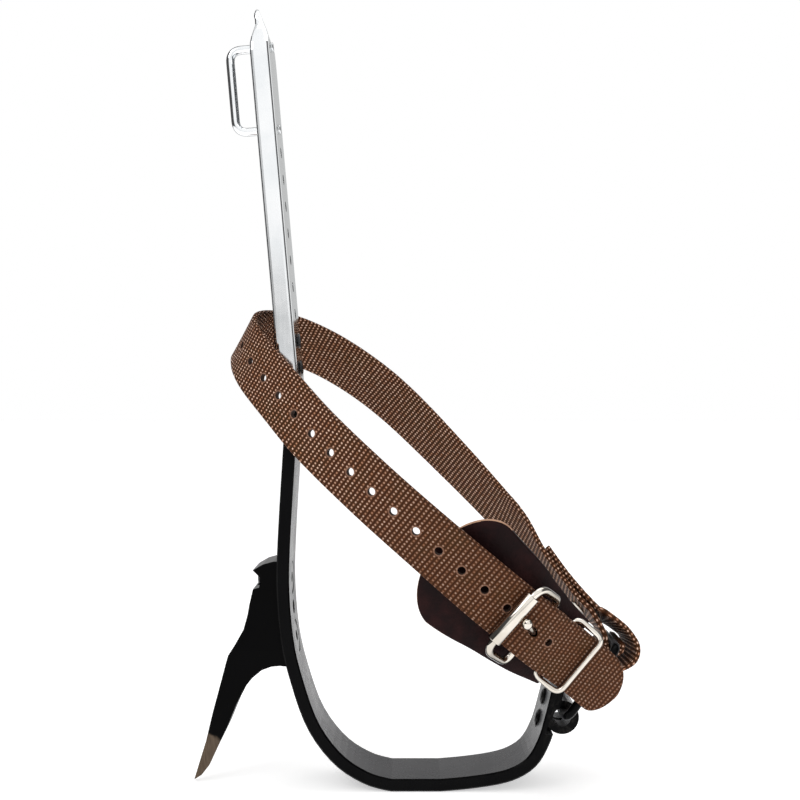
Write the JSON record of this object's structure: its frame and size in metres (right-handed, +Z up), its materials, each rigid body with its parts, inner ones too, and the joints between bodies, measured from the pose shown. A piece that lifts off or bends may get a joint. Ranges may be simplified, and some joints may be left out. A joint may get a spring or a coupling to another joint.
{
  "type": "tree climbing spur",
  "caption": "Tree climber's leg spur: stirrup and shank with a bolted gaff, a sliding leg iron with a calf strap loop, and a buckled webbing ankle strap on a ring.",
  "frame": {"origin": "middle of the flat tread that the boot stands on", "axes": "+Z up from the tread along the leg, +X from the shank and gaff side towards the side the ring hangs on, Y across the tread"},
  "size_m": [0.2212, 0.1187, 0.387],
  "materials": {
    "black_steel": "satin black over forged steel",
    "zinc_steel": "bright zinc plate",
    "nickel_plate": "bright nickel plate",
    "webbing": "stiff coated webbing with a raised two-colour weave",
    "leather": "dark waxed leather with a pale cut edge"
  },
  "bodies": {
    "climber": {"stirrup_shank": "black_steel", "gaff": "black_steel", "gaff_screw_upper": "black_steel", "gaff_screw_lower": "black_steel", "gaff_dowel_pin": "black_steel", "hook_plate": "black_steel", "hook_plate_rivet_upper": "black_steel", "hook_plate_rivet_lower": "black_steel"},
    "leg_iron": {"leg_iron": "zinc_steel", "calf_strap_loop": "zinc_steel", "clamp_screw_upper": "zinc_steel", "clamp_screw_lower": "zinc_steel", "clamp_nut_plate": "zinc_steel"},
    "strap": {"strap_ring": "black_steel", "ankle_strap": "webbing", "buckle_strap": "webbing", "buckle_pad": "leather", "buckle_frame": "nickel_plate", "buckle_rivet_near": "nickel_plate", "buckle_rivet_far": "nickel_plate", "strap_rivet_upper": "nickel_plate", "strap_rivet_lower": "nickel_plate", "strap_rivet_burr_upper": "nickel_plate", "strap_rivet_burr_lower": "nickel_plate"},
    "roller": {"buckle_roller": "nickel_plate"},
    "tongue": {"buckle_tongue": "nickel_plate"},
    "keeper": {"strap_keeper": "nickel_plate"}
  },
  "joints": [
    {"name": "leg_iron_height", "type": "slide", "parent": "climber", "child": "leg_iron", "axis": [-0.088, 0, 0.9961], "range_m": [0, 0.1016]},
    {"name": "strap_swing", "type": "hinge", "parent": "climber", "child": "strap", "pos_m": [0.073, 0, 0.0306], "axis": [0, 1, 0], "range_deg": [-7, 0]},
    {"name": "buckle_roller_spin", "type": "hinge", "parent": "strap", "child": "roller", "pos_m": [0.04286, -0.06047, 0.08728], "axis": [0.6622, -0.01, 0.7492], "continuous": true},
    {"name": "buckle_tongue_pivot", "type": "hinge", "parent": "strap", "child": "tongue", "pos_m": [0.05281, -0.04585, 0.07867], "axis": [0.6622, -0.01, 0.7492], "range_deg": [-0.8, 3]},
    {"name": "strap_keeper_slide", "type": "slide", "parent": "strap", "child": "keeper", "axis": [0.7009, 0.4289, -0.5699], "range_m": [-0.003, 0.002]}
  ]
}
